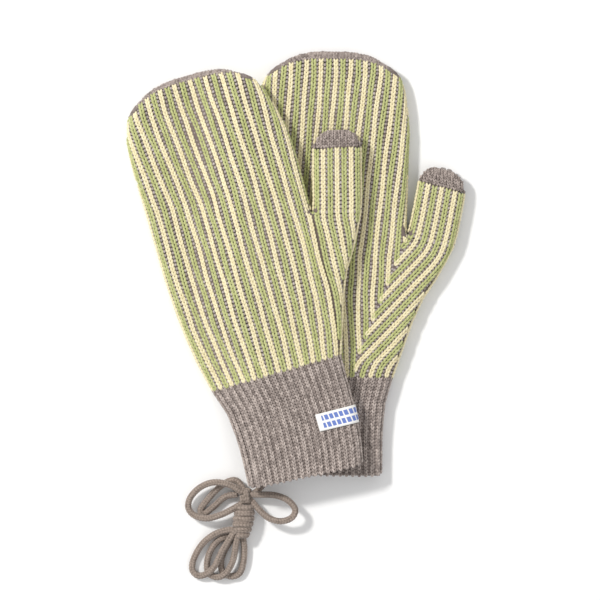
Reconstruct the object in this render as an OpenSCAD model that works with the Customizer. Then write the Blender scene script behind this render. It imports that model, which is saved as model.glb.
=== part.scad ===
// Pair of rib-knit mittens lying flat, left one on top, with a knitted neck cord bundled and tied in a bow.
// Units are millimetres. The surface they lie on is z = 0, fingertips point to +Y, thumbs to +X.
// The origin is on the flat underside of the right mitten.

/* [Mitten sizes, left and right as they lie] */
// Length of each striped hand from wrist to crown
hand_len = [209, 219]; // [180:1:245]
// Length of each cuff
cuff_len = [71, 65]; // [45:1:95]
// Length of each thumb above its base
thumb_len = [56, 50]; // [38:1:66]

/* [Shared sizes] */
// Widest part of a hand laid flat
hand_w = 110; // [98:1:122]
// Width at the wrist line
wrist_w = 90; // [80:1:98]
// Width of a cuff at its hem
hem_w = 78; // [68:1:88]
// Width of a thumb laid flat
thumb_w = 34; // [28:1:40]
// Lean of the thumbs away from the hand
thumb_lean = 14; // [8:1:22]
// Height of the thumb crotch over the wrist line
crotch = 96; // [84:1:106]
// Thickness of one mitten as it lies
thick = 13; // [12:0.5:18]
// Thickness of the knit
wall = 2.6; // [1.8:0.1:3]
// Depth of the plain band at the crown
band = 6.5; // [4:0.5:12]
// Depth of the plain cap on each thumb
thumb_cap = 13; // [9:1:18]

/* [Layout] */
// Turn of each mitten, left and right
turn = [16, -1]; // [-20:1:20]
// Air between the left mitten and the right one under it
lay_gap = 1; // [0.8:0.1:3]
// Width of the slope where the left mitten comes down to the surface
drape = 34; // [24:1:50]

/* [Label] */
// Width of the woven label along the cuff
label_w = 11.5; // [8:0.5:16]
// Distance of the label from the wrist line
label_at = 34; // [24:1:44]
// Thickness of the folded label
label_t = 0.6; // [0.4:0.1:0.7]

/* [Cord] */
// Thickness of the knitted cord
cord_d = 4.4; // [3.5:0.1:5]
// Number of turns round the bundle
wraps = 6; // [4:1:7]

/* [Hidden] */

L = 0;
R = 1;
// middle of each wrist line in the shared frame
wrist = [[-14.9, -69.9], [17.9, -72.5]];
// sideways lean of each crown and each cuff
crown_shift = [-3.5, 2];
cuff_shift = [3.2, -2];
// sideways bend of each thumb towards its tip
thumb_bend = [1, -2.4];
hem_slant = [-0.07, 0];
// seam gap between pieces that turn against each other
seam = 0.35;
wrist_seam = [seam, 0];
// rounding of the folded edges in plan
edge_r = 7.5;
lift_z = thick + lay_gap;
crotch_t = hand_w / 2 - 2.3;
// flat points across the hand and across the thumb
nf = 11;
nt = 4;
np = 2 * (nf + nt) + 10;
nr = 2 * nf + 10;

cream = "#efe3b8";
taupe = "#968a82";

function mix(a, b, k) = a + (b - a) * k;
function smooth(k) = let (c = min(1, max(0, k))) c * c * (3 - 2 * c);
function flatten(l) = [for (a = l) each a];

// edge of the right mitten that the left one climbs over, and the height of the left one there
function under_edge(y) = mix(wrist[R].x - hand_w / 2 - 0.9, wrist[R].x - wrist_w / 2 + 3.1, smooth((-10 - (hand_w - wrist_w) / 2 - y) / 50));
function lift(x, y) = lift_z * smooth((x - under_edge(y) + drape) / drape);

// plan point of mitten m (along the width, along the length, height) carried into the shared frame
function place(m, p) =
  let (
    c = cos(turn[m]), s = sin(turn[m]),
    x = wrist[m].x + p.x * c - p.y * s,
    y = wrist[m].y + p.x * s + p.y * c
  )
  [x, y, p.z + (m == L ? lift(x, y) : 0)];
function placed(m, ring) = [for (p = ring) place(m, p)];

// closed ring of a flattened tube: bottom, right edge, top, left edge
function right_arc(p, d, r, h, z) =
  [for (q = [-60:30:60]) [p.x + d.x * r * cos(q), p.y + d.y * r * cos(q), z + h / 2 * sin(q)]];
function left_arc(p, d, r, h, z) =
  [for (q = [60:-30:-60]) [p.x - d.x * r * cos(q), p.y - d.y * r * cos(q), z + h / 2 * sin(q)]];
function row(a, b, n, z) = [for (i = [0:n - 1]) let (p = mix(a, b, i / (n - 1))) [p.x, p.y, z]];
function backwards(l) = [for (i = [len(l) - 1:-1:0]) l[i]];
function bowed(l, mid, half, bow) = [for (p = l) [p.x, p.y - bow * pow(abs(p.x - mid) / half, 3), p.z]];

// tube ring between plan points a and b, drawn in by o for the inside of the knit
function ring(a, b, n, h, bow = 0, o = 0) =
  let (
    z = thick / 2,
    r = edge_r * h / thick,
    hh = h - 2 * o,
    rr = max(0.6, r - o),
    e = [b.x - r, b.y],
    f = [a.x + r, a.y],
    lo = row(f, e, n, z - hh / 2),
    hi = row(e, f, n, z + hh / 2)
  )
  bowed(
    concat(lo, right_arc(e, [1, 0], rr, hh, z), hi, left_arc(f, [1, 0], rr, hh, z)),
    (a.x + b.x) / 2, (b.x - a.x) / 2, bow
  );

// hand below the crotch: share of the crotch height, left edge, right edge
palm_steps = [0, 0.2, 0.4, 0.58, 0.73, 0.87, 1];
function left_edge(k) = lookup(k, [[0, wrist_w / 2], [0.2, hand_w * 0.448], [0.45, hand_w * 0.482], [0.8, hand_w / 2], [1, hand_w / 2]]);
base_right = crotch_t + (thumb_w - 1.5) * cos(thumb_lean);
function right_edge(k) = lookup(k, [
  [0, wrist_w / 2],
  [0.2, mix(wrist_w / 2, base_right, 0.165)],
  [0.4, mix(wrist_w / 2, base_right, 0.32)],
  [0.58, mix(wrist_w / 2, base_right, 0.5)],
  [0.73, mix(wrist_w / 2, base_right, 0.71)],
  [0.87, mix(wrist_w / 2, base_right, 0.87)],
  [1, base_right]
]);
function seam_t(k) = mix(wrist_w / 2 - 24, crotch_t, k);

function palm_ring(k, o) =
  let (
    z = thick / 2,
    h = thick - 2 * o,
    s = k * crotch - (k == 1 ? o * 1.6 : 0),
    a = [-left_edge(k) + edge_r, s],
    c = [seam_t(k), s],
    lean = thumb_lean * k * k,
    d = [cos(lean), -sin(lean)],
    b = c + d * ((right_edge(k) - c.x) / d.x - edge_r),
    r = edge_r - o,
    lo = concat(row(a, c, nf, z - h / 2), [for (i = [1:nt]) let (p = mix(c, b, i / nt)) [p.x, p.y, z - h / 2]])
  )
  concat(lo, right_arc(b, d, r, h, z), [for (p = backwards(lo)) [p.x, p.y, z + h / 2]], left_arc(a, [1, 0], r, h, z));

// web between hand and thumb
function web(o) =
  [for (q = [-60:30:60]) [crotch_t, crotch - o * 1.6 + 2.5 * cos(q), thick / 2 + (thick / 2 - o) * sin(q)]];

// hand above the crotch: share of the hand length, left half width, right half width, bow, thickness
function finger_steps(m) =
  let (w = hand_w / 2, t = 1 - band / hand_len[m])
  [
    [0.5, w, w - 2.6, 0, 1], [0.57, w, w - 2.2, 0, 1], [0.66, w, w - 2, 0, 1], [0.75, w - 0.6, w - 2, 1, 1],
    [0.82, w - 2, w - 3.5, 4, 1], [0.88, w - 3.6, w - 5, 8, 1], [0.925, w - 5.6, w - 6.6, 10.5, 0.97],
    [t, w - 8.6, w - 9, 13, 0.9]
  ];
function crown_steps(m) =
  let (w = hand_w / 2, t = 1 - band / hand_len[m])
  [[t, w - 8.6, w - 9, 13, 0.9], [mix(t, 1, 0.6), w - 10.4, w - 10.8, 13.4, 0.74], [1, w - 13.5, w - 14, 13.5, 0.42]];
function step_ring(m, q, o, cut = 0) =
  let (c = crown_shift[m] * smooth((q[0] - 0.62) / 0.38), y = q[0] * hand_len[m] - cut)
  ring([c - q[1], y], [c + q[2], y], nf, thick * q[4], q[3], o);

// thumb: share of the length, half width, thickness, bend
thumb_steps = [[0.16, 1, 1, 0.1], [0.4, 1, 1, 0.4], [0.6, 1, 1, 0.7]];
function cap_at(m) = 1 - thumb_cap / thumb_len[m];
function cap_steps(m) =
  let (c = cap_at(m))
  [[c, 1, 1, 1], [mix(c, 1, 0.35), 0.96, 0.98, 1.2], [mix(c, 1, 0.7), 0.8, 0.86, 1.4],
   [mix(c, 1, 0.9), 0.6, 0.68, 1.6], [1, 0.4, 0.42, 1.7]];
function thumb_ring(m, q, o) =
  let (
    d = [cos(thumb_lean), -sin(thumb_lean)],
    u = [sin(thumb_lean), cos(thumb_lean)],
    b = [crotch_t + 0.4, crotch + seam] + u * q[0] * thumb_len[m] + d * (thumb_w - 1.5) / 2 + d * thumb_bend[m] * q[3],
    w = (thumb_w / 2 - 0.4) * q[1],
    h = thick * q[2],
    hh = h - 2 * o,
    r = edge_r * q[2],
    z = thick / 2,
    e = b + d * (w - r),
    f = b - d * (w - r),
    rr = max(0.6, r - o),
    lo = row(f, e, nt + 1, z - hh / 2)
  )
  concat(lo, right_arc(e, d, rr, hh, z), [for (p = backwards(lo)) [p.x, p.y, z + hh / 2]], left_arc(f, d, rr, hh, z));
// first ring of a thumb, on the rim of the hole in the hand
function thumb_base(o) =
  let (
    z = thick / 2,
    h = thick - 2 * o,
    d = [cos(thumb_lean), -sin(thumb_lean)],
    c = [crotch_t + 0.4 + o * 0.6, crotch + seam - o * 0.6 * tan(thumb_lean)],
    b = [crotch_t + 0.4, crotch + seam] + d * (thumb_w - 1.5 - edge_r),
    lo = row(c, b, nt + 1, z - h / 2)
  )
  concat(
    lo,
    right_arc(b, d, edge_r - o, h, z),
    [for (p = backwards(lo)) [p.x, p.y, z + h / 2]],
    [for (q = [60:-30:-60]) [c.x, crotch + seam + 2.5 * cos(q), z + h / 2 * sin(q)]]
  );

// cuff: share of the length, half width, sideways share
cuff_steps = [[0, 1, 0], [0.1, 0.8, 0.3], [0.25, 0.5, 0.8], [0.48, 0.36, 1], [0.64, 0.26, 0.9], [0.8, 0.18, 0.6], [0.94, 0.06, 0.2], [1, 0, 0]];
function cuff_ring(m, q, o) =
  let (
    w = mix(hem_w, wrist_w, q[1]) / 2,
    c = cuff_shift[m] * q[2],
    y = -wrist_seam[m] - q[0] * (cuff_len[m] - wrist_seam[m]),
    g = ring([c - w, y], [c + w, y], nf, thick, 0, o)
  )
  [for (p = g) [p.x, p.y + hem_slant[m] * p.x * q[0], p.z]];

// triangles between two rows of point numbers that go round
function band_faces(a, b) =
  let (n = len(a))
  flatten([for (i = [0:n - 1]) let (j = (i + 1) % n) [[a[i], a[j], b[j]], [a[i], b[j], b[i]]]]);
function count(from, n) = [for (i = [0:n - 1]) from + i];
function cap_faces(r) =
  let (n = (len(r) - 10) / 2)
  concat(
    flatten([for (i = [0:n - 2]) [[r[i], r[i + 1], r[2 * n + 3 - i]], [r[i], r[2 * n + 3 - i], r[2 * n + 4 - i]]]]),
    [for (i = [0:4]) [r[n - 1], r[n + i], r[n + i + 1]]],
    [for (i = [0:4]) [r[2 * n + 4], r[2 * n + 5 + i], i == 4 ? r[0] : r[2 * n + 6 + i]]]
  );
function turned(f) = [for (t = f) [t[0], t[2], t[1]]];

// open tube with thickness, from outer rings and inner rings
module tube(outer, inner) {
  n = len(outer[0]);
  k = len(outer);
  po = [for (i = [0:k - 1]) count(i * n, n)];
  pi = [for (i = [0:k - 1]) count((k + i) * n, n)];
  walls = flatten([for (i = [0:k - 2]) concat(band_faces(po[i], po[i + 1]), turned(band_faces(pi[i], pi[i + 1])))]);
  rims = concat(turned(band_faces(po[0], pi[0])), band_faces(po[k - 1], pi[k - 1]));
  polyhedron(concat(flatten(outer), flatten(inner)), concat(walls, rims));
}

// tube closed at its far end
module pocket(outer, inner) {
  n = len(outer[0]);
  k = len(outer);
  j = len(inner);
  po = [for (i = [0:k - 1]) count(i * n, n)];
  pi = [for (i = [0:j - 1]) count((k + i) * n, n)];
  walls = concat(
    flatten([for (i = [0:k - 2]) band_faces(po[i], po[i + 1])]),
    turned(flatten([for (i = [0:j - 2]) band_faces(pi[i], pi[i + 1])]))
  );
  ends = concat(cap_faces(po[k - 1]), turned(cap_faces(pi[j - 1])), turned(band_faces(po[0], pi[0])));
  polyhedron(concat(flatten(outer), flatten(inner)), concat(walls, ends));
}

// skin of a hand with its thumb hole: point numbers from number s on
function hand_points(m, o) = placed(m, concat(
  flatten([for (k = palm_steps) palm_ring(k, o)]),
  web(o),
  flatten([for (q = finger_steps(m)) step_ring(m, q, o)])
));
function palm_row(s, k) = count(s + k * np, np);
function split_row(s) =
  let (e = palm_row(s, len(palm_steps) - 1), w = count(s + len(palm_steps) * np, 5), t = nf + 2 * nt + 5)
  concat(
    [for (i = [0:nf - 1]) e[i]], w,
    [for (i = [0:nf - 1]) e[t + i]],
    [for (i = [0:4]) e[np - 5 + i]]
  );
function hole_row(s) =
  let (e = palm_row(s, len(palm_steps) - 1), w = count(s + len(palm_steps) * np, 5))
  concat([for (i = [nf - 1:nf + 2 * nt + 5]) e[i]], backwards(w));
function finger_row(s, k) = k == 0 ? split_row(s) : count(s + len(palm_steps) * np + 5 + (k - 1) * nr, nr);
function hand_walls(s, steps) = concat(
  flatten([for (k = [0:len(palm_steps) - 2]) band_faces(palm_row(s, k), palm_row(s, k + 1))]),
  flatten([for (k = [0:steps - 1]) band_faces(finger_row(s, k), finger_row(s, k + 1))])
);

module hand(m) {
  steps = len(finger_steps(m));
  outer = hand_points(m, 0);
  s = len(outer);
  faces = concat(
    hand_walls(0, steps),
    turned(hand_walls(s, steps)),
    turned(band_faces(palm_row(0, 0), palm_row(s, 0))),
    band_faces(finger_row(0, steps), finger_row(s, steps)),
    band_faces(hole_row(0), hole_row(s))
  );
  color(cream) polyhedron(concat(outer, hand_points(m, wall)), faces);
}

module crown_band(m) {
  q = crown_steps(m);
  outer = [for (a = q) placed(m, step_ring(m, a, 0))];
  inner = [placed(m, step_ring(m, q[0], wall)), placed(m, step_ring(m, q[1], wall, wall * 0.8))];
  color(taupe) pocket(outer, inner);
}

module thumb(m) {
  q = concat(thumb_steps, [cap_steps(m)[0]]);
  outer = concat([placed(m, thumb_base(0))], [for (a = q) placed(m, thumb_ring(m, a, 0))]);
  inner = concat([placed(m, thumb_base(wall))], [for (a = q) placed(m, thumb_ring(m, a, wall))]);
  color(cream) tube(outer, inner);
}

module thumb_tip(m) {
  q = cap_steps(m);
  outer = [for (a = q) placed(m, thumb_ring(m, a, 0))];
  inner = [for (i = [0:2]) placed(m, thumb_ring(m, q[i] - [i == 2 ? 0.02 : 0, 0, 0, 0], wall))];
  color(taupe) pocket(outer, inner);
}

module cuff(m) {
  color(taupe) tube(
    backwards([for (q = cuff_steps) placed(m, cuff_ring(m, q, 0))]),
    backwards([for (q = cuff_steps) placed(m, cuff_ring(m, q, wall))])
  );
}

module left_cuff() cuff(L);
module right_cuff() cuff(R);
module left_hand() hand(L);
module right_hand() hand(R);
module left_crown_band() crown_band(L);
module right_crown_band() crown_band(R);
module left_thumb() thumb(L);
module right_thumb() thumb(R);
module left_thumb_cap() thumb_tip(L);
module right_thumb_cap() thumb_tip(R);

// label: strip folded round the thumb-side edge of the left cuff, lying on the cuff
label_gap = 0.15;
function label_share(k) = (label_at + label_w * k) / cuff_len[L];
function label_ring(o) = [for (k = [0, 1]) let (
  f = label_share(k),
  q = [f, lookup(f, [for (c = cuff_steps) [c[0], c[1]]]), lookup(f, [for (c = cuff_steps) [c[0], c[2]]])]
) placed(L, cuff_ring(L, q, o))];
module label() {
  // ring numbers from the underside round the edge to the top
  from = nf - 4;
  to = nf + 8;
  n = to - from + 1;
  inner = label_ring(-label_gap);
  outer = label_ring(-label_t - label_gap);
  pts = concat(
    [for (i = [from:to]) outer[1][i]], [for (i = [from:to]) outer[0][i]],
    [for (i = [from:to]) inner[1][i]], [for (i = [from:to]) inner[0][i]]
  );
  faces = flatten([for (i = [0:n - 2]) concat(
    [[i, i + 1, n + i + 1], [i, n + i + 1, n + i]],
    [[2 * n + i, 3 * n + i + 1, 2 * n + i + 1], [2 * n + i, 3 * n + i, 3 * n + i + 1]],
    [[i, 2 * n + i + 1, i + 1], [i, 2 * n + i, 2 * n + i + 1]],
    [[n + i, n + i + 1, 3 * n + i + 1], [n + i, 3 * n + i + 1, 3 * n + i]]
  )]);
  e = n - 1;
  ends = [
    [0, n, 3 * n], [0, 3 * n, 2 * n],
    [e, 3 * n + e, n + e], [e, 2 * n + e, 3 * n + e]
  ];
  color("#f4f3f0") polyhedron(pts, concat(faces, ends));
}

// route points of the cord, chosen by eye
left_loop_path = [
  [-38, -149, 8], [-46, -144.6, 8.8], [-56, -142.6, 8.6], [-65, -145.4, 7.6], [-72, -151.8, 6.4], [-74.2, -159, 5.8],
  [-70.6, -164.6, 6], [-62, -166.8, 7.6], [-52.5, -164.4, 8.4], [-44.5, -160.6, 8.2], [-38.5, -157.4, 7.6]
];
back_loop_path = [
  [-36.6, -147.6, 6.6], [-41.5, -141.6, 4], [-48.4, -142.8, 2.6], [-56, -148.6, 2.4], [-62.6, -156, 2.4],
  [-66.2, -161.6, 2.4], [-63.4, -163.8, 2.4], [-57, -159, 2.6], [-49.4, -152.6, 3], [-41, -150.4, 4]
];
right_loop_path = [
  [-33, -150.8, 7], [-25.9, -150.9, 8.4], [-16, -151.2, 10], [-7.6, -154.4, 11.4], [-2.6, -160.6, 12],
  [-5, -166.2, 11.8], [-12.6, -168.6, 11], [-20.6, -166.2, 10], [-26.4, -161.2, 8.6], [-32, -155.6, 7.2]
];
left_tail_path = [[-33.9, -146.6, 6.4], [-34.2, -148, 6.5], [-34.6, -149.6, 6.6]];
right_tail_path = [[-21.2, -137.9, 6.4], [-22.6, -142.4, 5], [-26.4, -147, 4.6], [-31, -150.6, 5.4]];

function along(a, i) = a[max(0, min(len(a) - 1, i))];
function heading(a, i) = let (d = along(a, i + 1) - along(a, i - 1)) d / norm(d);
sides = 10;
module cord(path) {
  n = len(path);
  pts = flatten([for (i = [0:n - 1]) let (
    t = heading(path, i),
    u = [-t.y, t.x, 0] / norm([t.x, t.y]),
    v = cross(t, u)
  ) [for (k = [0:sides - 1]) path[i] + (u * cos(360 * k / sides) + v * sin(360 * k / sides)) * cord_d / 2]]);
  rows = [for (i = [0:n - 1]) count(i * sides, sides)];
  color(taupe) polyhedron(pts, concat(
    turned(flatten([for (i = [0:n - 2]) band_faces(rows[i], rows[i + 1])])),
    [[for (k = [0:sides - 1]) k]],
    [[for (k = [sides - 1:-1:0]) (n - 1) * sides + k]]
  ));
}
module cord_left_tail() cord(left_tail_path);
module cord_right_tail() cord(right_tail_path);
module cord_left_loop() cord(left_loop_path);
module cord_back_loop() cord(back_loop_path);
module cord_right_loop() cord(right_loop_path);

// bow knot: a short barrel of wound cord
knot_at = [-35.4, -152.8, 6.6];
module cord_knot() {
  color(taupe) translate(knot_at) rotate([0, 90, 12]) rotate_extrude($fn = 32)
    polygon([[0, -5], [3.6, -5], [5.4, -3], [6, 0], [5.4, 3], [3.6, 5], [0, 5]]);
}

// wraps: turns stacked along the bundle, one closed solid
wrap_top = [-35.2, -158.9, 7.1];
wrap_turn = -7;
module cord_wraps() {
  pitch = 21 / wraps;
  color(taupe) translate(wrap_top) rotate([90, 0, wrap_turn]) rotate_extrude($fn = 32)
    union() {
      polygon([[0, 0], [5, 0], [6, wraps * pitch / 2], [5.6, wraps * pitch], [0, wraps * pitch]]);
      for (i = [0:wraps - 1]) {
        translate([4.1 + 0.8 * sin(180 * (i + 1) / (wraps + 1)), pitch * (i + 0.5)]) circle(r = pitch * 0.56, $fn = 20);
      }
    }
}

// hank of loops below the wraps, one closed solid with round ends
module cord_hank() {
  color(taupe) translate([0, 0, 0.3]) linear_extrude(height = 2 * cord_d) hull() {
    translate([-40, -181.6]) circle(r = 4, $fn = 32);
    translate([-40.6, -193]) circle(r = 6.4, $fn = 32);
    translate([-47, -198.6]) circle(r = 9, $fn = 32);
    translate([-64, -199.4]) circle(r = 8.6, $fn = 32);
    translate([-57, -184.8]) circle(r = 5, $fn = 32);
  }
}

right_cuff();
right_hand();
right_crown_band();
right_thumb();
right_thumb_cap();
left_cuff();
left_hand();
left_crown_band();
left_thumb();
left_thumb_cap();
label();
cord_left_tail();
cord_right_tail();
cord_knot();
cord_left_loop();
cord_back_loop();
cord_right_loop();
cord_wraps();
cord_hank();
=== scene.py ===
"""Looks of a pair of rib-knit mittens with a neck cord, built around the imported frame.

Plan work is in millimetres on each mitten's own lines: t runs across the hand towards the thumb,
s runs from the wrist line to the fingertips. Meshes are written in metres, in the frame's own axes.
"""

import math

import bmesh
import bpy
import numpy as np
from mathutils import Matrix, Vector


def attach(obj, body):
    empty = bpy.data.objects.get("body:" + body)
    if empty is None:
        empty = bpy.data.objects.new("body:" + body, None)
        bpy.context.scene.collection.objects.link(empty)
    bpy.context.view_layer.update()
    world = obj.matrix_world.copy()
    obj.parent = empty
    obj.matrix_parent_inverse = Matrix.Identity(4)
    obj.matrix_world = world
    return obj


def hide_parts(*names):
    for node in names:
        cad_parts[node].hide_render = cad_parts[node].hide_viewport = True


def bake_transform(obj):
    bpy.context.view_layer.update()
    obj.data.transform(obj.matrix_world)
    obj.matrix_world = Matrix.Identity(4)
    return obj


bl_info = {
    "name": "Knitted mittens",
    "version": (1, 0, 0),
    "blender": (4, 5, 0),
    "location": "3D View > Sidebar > Mittens",
    "description": "Builds a pair of striped rib-knit mittens with a tied neck cord",
    "category": "Object",
}

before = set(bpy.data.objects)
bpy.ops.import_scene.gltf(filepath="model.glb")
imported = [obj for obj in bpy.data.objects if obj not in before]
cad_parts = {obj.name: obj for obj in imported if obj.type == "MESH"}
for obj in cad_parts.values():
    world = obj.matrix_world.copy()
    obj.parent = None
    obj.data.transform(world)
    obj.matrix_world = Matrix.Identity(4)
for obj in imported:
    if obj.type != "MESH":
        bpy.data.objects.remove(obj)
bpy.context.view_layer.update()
MM = 0.001

THICK = 13.0
WALL = 2.6
EDGE = 7.5
EDGE_ARC = 11.0
HAND_W = 110.0
WRIST_W = 90.0
HEM_W = 78.0
THUMB_W = 34.0
LEAN = 14.0
CROTCH = 96.0
CROTCH_T = HAND_W / 2 - 2.3
BAND = 6.5
CAP = 13.0
LIFT = THICK + 1.0
DRAPE = 34.0
SEAM = 0.35
CORD_D = 4.4
LABEL_LENGTH = 62.0


def smooth(k):
    k = np.clip(k, 0.0, 1.0)
    return k * k * (3 - 2 * k)


def lerp(a, b, k):
    return a + (b - a) * k


def unit(v):
    return v / np.maximum(np.linalg.norm(v, axis=-1, keepdims=True), 1e-9)


# ---------------------------------------------------------------- the mittens' plan

BASE_RIGHT = CROTCH_T + (THUMB_W - 1.5) * math.cos(math.radians(LEAN))
LEFT_K = [0, 0.2, 0.45, 0.8, 1]
LEFT_W = [WRIST_W / 2, HAND_W * 0.448, HAND_W * 0.482, HAND_W / 2, HAND_W / 2]
RIGHT_K = [0, 0.2, 0.4, 0.58, 0.73, 0.87, 1]
RIGHT_W = [lerp(WRIST_W / 2, BASE_RIGHT, k) for k in (0, 0.165, 0.32, 0.5, 0.71, 0.87, 1)]
PALM_K = [0, 0.2, 0.4, 0.58, 0.73, 0.87, 1]
CUFF_K = [0, 0.1, 0.25, 0.48, 0.64, 0.8, 0.94, 1]
CUFF_W = [1, 0.8, 0.5, 0.36, 0.26, 0.18, 0.06, 0]
CUFF_C = [0, 0.3, 0.8, 1, 0.9, 0.6, 0.2, 0]


class Mitten:
    """One mitten's outline, surface and rib lines."""

    def __init__(self, name, turn, wrist, hand, cuff, thumb, crown, cuff_shift, slant, seam, bend, lifted, top, lap):
        self.name, self.turn, self.wrist = name, math.radians(turn), wrist
        self.hand, self.cuff, self.thumb = hand, cuff, thumb
        self.crown, self.cuff_shift, self.slant, self.seam = crown, cuff_shift, slant, seam
        self.bend, self.lifted, self.top, self.lap = bend, lifted, top, lap
        lean = math.radians(LEAN)
        self.d = np.array([math.cos(lean), -math.sin(lean)])
        self.u = np.array([math.sin(lean), math.cos(lean)])
        w = HAND_W / 2
        self.band_at = 1 - BAND / hand
        steps = [
            (0.5, w, w - 2.6, 0), (0.57, w, w - 2.2, 0), (0.66, w, w - 2, 0), (0.75, w - 0.6, w - 2, 1),
            (0.82, w - 2, w - 3.5, 4), (0.88, w - 3.6, w - 5, 8), (0.925, w - 5.6, w - 6.6, 10.5),
            (self.band_at, w - 8.6, w - 9, 13), (lerp(self.band_at, 1, 0.6), w - 10.4, w - 10.8, 13.4),
        ]
        left = [(-np.interp(k, LEFT_K, LEFT_W), k * CROTCH) for k in PALM_K]
        left += [(self.shift(f) - a, f * hand - bow) for f, a, _, bow in steps]
        right = [(self.shift(f) + b, f * hand - bow) for f, _, b, bow in steps]
        c, a, b = self.shift(1), w - 13.5, w - 14
        arc = [(c + (b - a) / 2 + x * (a + b) / 2, hand - 13.5 * abs(x) ** 3) for x in np.linspace(-1, 1, 17)]
        gusset = []
        for k in PALM_K:
            seam_t, lean_k = lerp(WRIST_W / 2 - 24, CROTCH_T, k), math.tan(lean * k * k)
            t = float(np.interp(k, RIGHT_K, RIGHT_W))
            gusset.append((t, k * CROTCH - lean_k * (t - seam_t)))
        tl, tr = [], []
        cap = 1 - CAP / thumb
        rows = [(0.16, 1, 0.1), (0.4, 1, 0.4), (0.6, 1, 0.7), (cap, 1, 1), (lerp(cap, 1, 0.35), 0.96, 1.2),
                (lerp(cap, 1, 0.7), 0.8, 1.4), (lerp(cap, 1, 0.9), 0.6, 1.6), (1, 0.4, 1.7)]
        for q, share, side in rows:
            mid = self.thumb_mid(q * thumb, side)
            tl.append(tuple(mid - self.d * (THUMB_W / 2 - 0.4) * share))
            tr.append(tuple(mid + self.d * (THUMB_W / 2 - 0.4) * share))
        cl, cr = [], []
        for k, share, side in zip(CUFF_K, CUFF_W, CUFF_C):
            half, c, y = lerp(HEM_W, WRIST_W, share) / 2, cuff_shift * side, -k * cuff
            cl.append((c - half, y + slant * (c - half) * k))
            cr.append((c + half, y + slant * (c + half) * k))
        crotch = [(CROTCH_T, CROTCH + 2.5)]
        self.left_side = np.array(cl[::-1] + left[1:])
        self.right_hand = np.array(right)
        self.gusset = np.array(gusset)
        self.cuff_left, self.cuff_right = np.array(cl), np.array(cr)
        self.cap_v = cap * thumb
        self.outline = np.array(
            cl[::-1] + left[1:] + arc + right[::-1] + crotch + tl + tr[::-1] + gusset[::-1] + cr[1:]
        )

    def shift(self, f):
        return float(self.crown * smooth((f - 0.62) / 0.38))

    def thumb_mid(self, v, side):
        start = np.array([CROTCH_T + 0.4, CROTCH + SEAM]) + self.d * (THUMB_W - 1.5) / 2
        return start + self.u * v + self.d * self.bend * side

    def edge(self, p):
        """Distance of plan points to the outline, and the direction to the nearest point of it."""
        p = np.atleast_2d(p)
        a, b = self.outline[:-1], self.outline[1:]
        ab = b - a
        k = np.einsum("nsk,sk->ns", p[:, None] - a, ab) / np.maximum((ab * ab).sum(1), 1e-9)
        near = a + np.clip(k, 0, 1)[..., None] * ab
        gap = near - p[:, None]
        dist = np.linalg.norm(gap, axis=2)
        i = dist.argmin(1)
        n = np.arange(len(p))
        return dist[n, i], unit(gap[n, i])

    def inside(self, p):
        """Whether plan points are inside the outline, closed along the hem."""
        p = np.atleast_2d(p)
        a, b = self.outline, np.roll(self.outline, -1, 0)
        y, x = p[:, 1][:, None], p[:, 0][:, None]
        cross = (a[:, 1] > y) != (b[:, 1] > y)
        at = a[:, 0] + (y - a[:, 1]) * (b[:, 0] - a[:, 0]) / np.where(b[:, 1] == a[:, 1], 1e-9, b[:, 1] - a[:, 1])
        return (cross & (x < at)).sum(1) % 2 == 1

    def to_frame(self, p):
        c, s = math.cos(self.turn), math.sin(self.turn)
        x = self.wrist[0] + p[:, 0] * c - p[:, 1] * s
        y = self.wrist[1] + p[:, 0] * s + p[:, 1] * c
        return x, y

    def from_frame(self, xy):
        c, s = math.cos(self.turn), math.sin(self.turn)
        x, y = xy[:, 0] - self.wrist[0], xy[:, 1] - self.wrist[1]
        return np.stack([x * c + y * s, -x * s + y * c], 1)

    def climb(self, x, y):
        """Height the mitten gains where it lies on the other one."""
        if not self.lifted:
            return np.zeros_like(x)
        edge = lerp(-38, -24, smooth((-20 - y) / 50))
        return LIFT * smooth((x - edge + DRAPE) / DRAPE)

    def surface(self, p, face):
        """Points and normals in the frame, in millimetres, on the top (+1) or under (-1) side."""
        p = np.atleast_2d(p)
        d, e = self.edge(p)
        d = np.clip(d, 0.05, EDGE)
        out = (EDGE - d) / EDGE
        f = np.sqrt(np.maximum(1 - out**2, 0.0))
        z = THICK / 2 * (1 + face * f)
        x, y = self.to_frame(p)
        c, s = math.cos(self.turn), math.sin(self.turn)
        nx, ny, nz = e[:, 0] * out / EDGE, e[:, 1] * out / EDGE, face * f / (THICK / 2)
        wx, wy = nx * c - ny * s, nx * s + ny * c
        up, h = self.climb(x, y), 0.5
        gx = (self.climb(x + h, y) - self.climb(x - h, y)) / (2 * h)
        gy = (self.climb(x, y + h) - self.climb(x, y - h)) / (2 * h)
        n = unit(np.stack([wx - gx * nz, wy - gy * nz, nz], 1))
        sag = 0.25 * (np.sin(x * 0.07 + 1.3 * self.turn) * np.sin(y * 0.043 + 0.8) - 1) if face > 0 else 0.12
        return np.stack([x, y, z + up + sag * f], 1), n

    # rib lines -------------------------------------------------------------

    def sides(self, s):
        """Left and right edge of the hand at height s, without the thumb's side above the crotch."""
        left = -np.interp(s, self.left_side[:, 1], -self.left_side[:, 0])
        low = np.interp(s, self.gusset[:, 1], self.gusset[:, 0])
        up = np.interp(s, self.right_hand[:, 1], self.right_hand[:, 0])
        return left, low, up

    def spread(self, s):
        """How much of their full spacing the ribs have at height s."""
        wide = np.interp(s / CROTCH, LEFT_K, LEFT_W)
        return (wide + 3.5) / (HAND_W / 2 + 3.5)

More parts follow.
